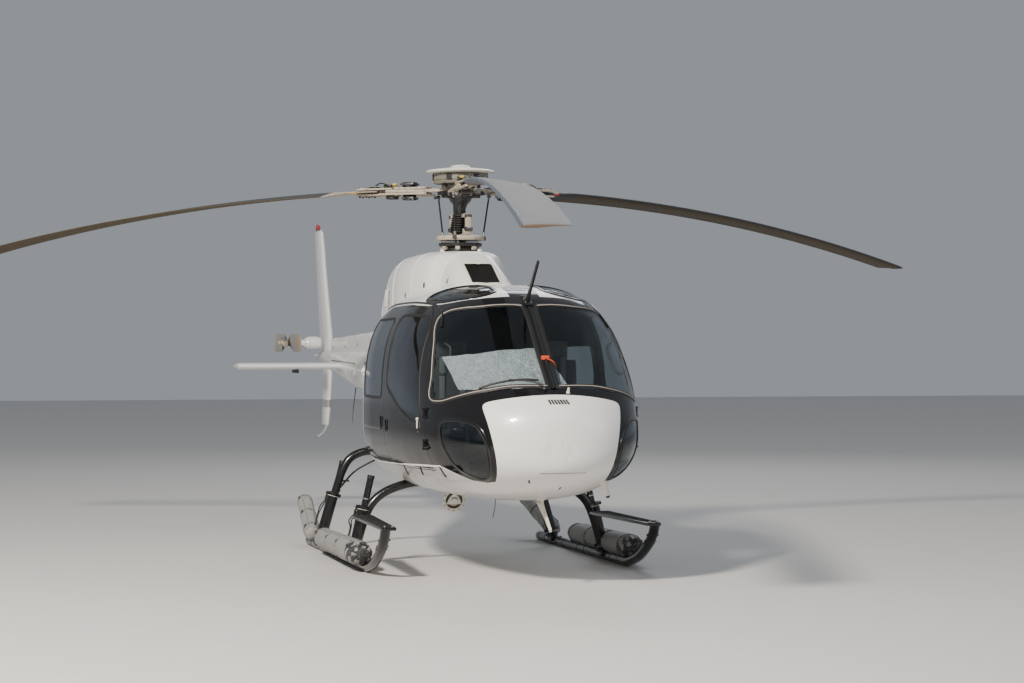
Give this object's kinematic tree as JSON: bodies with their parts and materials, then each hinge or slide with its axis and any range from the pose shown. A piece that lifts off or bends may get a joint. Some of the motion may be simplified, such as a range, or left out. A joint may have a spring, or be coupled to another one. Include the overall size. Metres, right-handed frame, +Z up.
{
  "type": "helicopter",
  "caption": "Light single engine utility helicopter on high skids with stowed float bags, a glazed cabin, star plate rotor head, hinged front doors and side hold lids.",
  "frame": {"origin": "centre of the lower face of the cargo hook plate, under the rotor mast on the symmetry plane", "axes": "nose towards -Y, tail towards +Y, starboard towards -X, port towards +X, up along +Z, skids level"},
  "size_m": [9.364, 12.9253, 3.3907],
  "materials": {
    "white_paint": "gloss",
    "black_paint": "gloss",
    "clear_glass": "polished",
    "tinted_glass": "polished",
    "dark_metal": "satin",
    "black_tube": "semi gloss",
    "skid_metal": "worn satin",
    "head_beige": "satin",
    "cap_white": "satin",
    "blade_grey": "satin",
    "tail_blade": "satin",
    "float_fabric": "coated woven",
    "seat_cloth": "woven",
    "interior_trim": "matt",
    "floor_trim": "matt",
    "steel": "brushed",
    "heavy_metal": "cast",
    "hook_plate": "bare",
    "red_lamp": "glossy",
    "lamp_ring": "satin"
  },
  "bodies": {
    "airframe": {"cabin_roof": "white_paint", "cabin_shell": "white_paint", "rear_fuselage": "white_paint", "gearbox_cowling": "white_paint", "engine_cowling": "white_paint", "tail_boom": "white_paint", "drive_shaft_cover": "white_paint", "upper_fin": "white_paint", "lower_fin": "white_paint", "stabiliser_starboard": "white_paint", "stabiliser_port": "white_paint", "door_sliding_starboard": "black_paint", "door_sliding_window_starboard": "clear_glass", "windscreen_starboard": "clear_glass", "chin_window_starboard": "tinted_glass", "skylight_starboard": "tinted_glass", "skid_starboard": "skid_metal", "float_bag_front_starboard": "float_fabric", "float_bag_rear_starboard": "float_fabric", "seat_front_starboard": "seat_cloth", "door_sliding_port": "black_paint", "door_sliding_window_port": "clear_glass", "windscreen_port": "clear_glass", "chin_window_port": "tinted_glass", "skylight_port": "tinted_glass", "skid_port": "skid_metal", "float_bag_front_port": "float_fabric", "float_bag_rear_port": "float_fabric", "seat_front_port": "seat_cloth", "rear_bench": "seat_cloth", "cabin_floor": "floor_trim", "cabin_bulkhead": "interior_trim", "instrument_console": "interior_trim", "cross_tube_front": "black_tube", "cross_tube_rear": "black_tube", "exhaust_pipe": "steel", "engine": "heavy_metal", "main_gearbox": "heavy_metal", "tail_gearbox": "dark_metal", "swashplate_fixed": "dark_metal", "wire_cutter_upper": "black_paint", "wire_cutter_lower": "white_paint", "intake_grille": "dark_metal", "tail_bow": "white_paint", "beacon": "red_lamp", "cargo_hook_plate": "hook_plate", "landing_lamp": "lamp_ring"},
    "main_rotor": {"rotor_head": "head_beige", "rotor_cap": "cap_white", "swashplate_rotating": "head_beige", "rotor_blade_1": "blade_grey", "rotor_blade_2": "blade_grey", "rotor_blade_3": "blade_grey"},
    "tail_rotor_body": {"tail_rotor": "tail_blade"},
    "front_door_starboard": {"door_front_starboard": "black_paint", "door_front_window_starboard": "clear_glass"},
    "side_hold_lid_starboard": {"hold_door_starboard": "white_paint"},
    "front_door_port": {"door_front_port": "black_paint", "door_front_window_port": "clear_glass"},
    "side_hold_lid_port": {"hold_door_port": "white_paint"}
  },
  "joints": [
    {"name": "main_rotor_turn", "type": "hinge", "parent": "airframe", "child": "main_rotor", "pos_m": [0, 0, 2.622], "axis": [0, 0, 1], "continuous": true},
    {"name": "tail_rotor_turn", "type": "hinge", "parent": "airframe", "child": "tail_rotor_body", "pos_m": [-0.454, 6.665, 1.297], "axis": [1, 0, 0], "continuous": true},
    {"name": "front_door_starboard_hinge", "type": "hinge", "parent": "airframe", "child": "front_door_starboard", "pos_m": [-0.853, -2.443, 0.862], "axis": [0, 0, 1], "range_deg": [0, 75]},
    {"name": "side_hold_lid_starboard_hinge", "type": "hinge", "parent": "airframe", "child": "side_hold_lid_starboard", "pos_m": [-0.69369, 0.905, 1.038], "axis": [0.1962, 0.9806, 0], "range_deg": [0, 85]},
    {"name": "front_door_port_hinge", "type": "hinge", "parent": "airframe", "child": "front_door_port", "pos_m": [0.853, -2.443, 0.862], "axis": [0, 0, -1], "range_deg": [0, 75]},
    {"name": "side_hold_lid_port_hinge", "type": "hinge", "parent": "airframe", "child": "side_hold_lid_port", "pos_m": [0.69369, 0.905, 1.038], "axis": [0.1962, -0.9806, 0], "range_deg": [0, 85]}
  ]
}
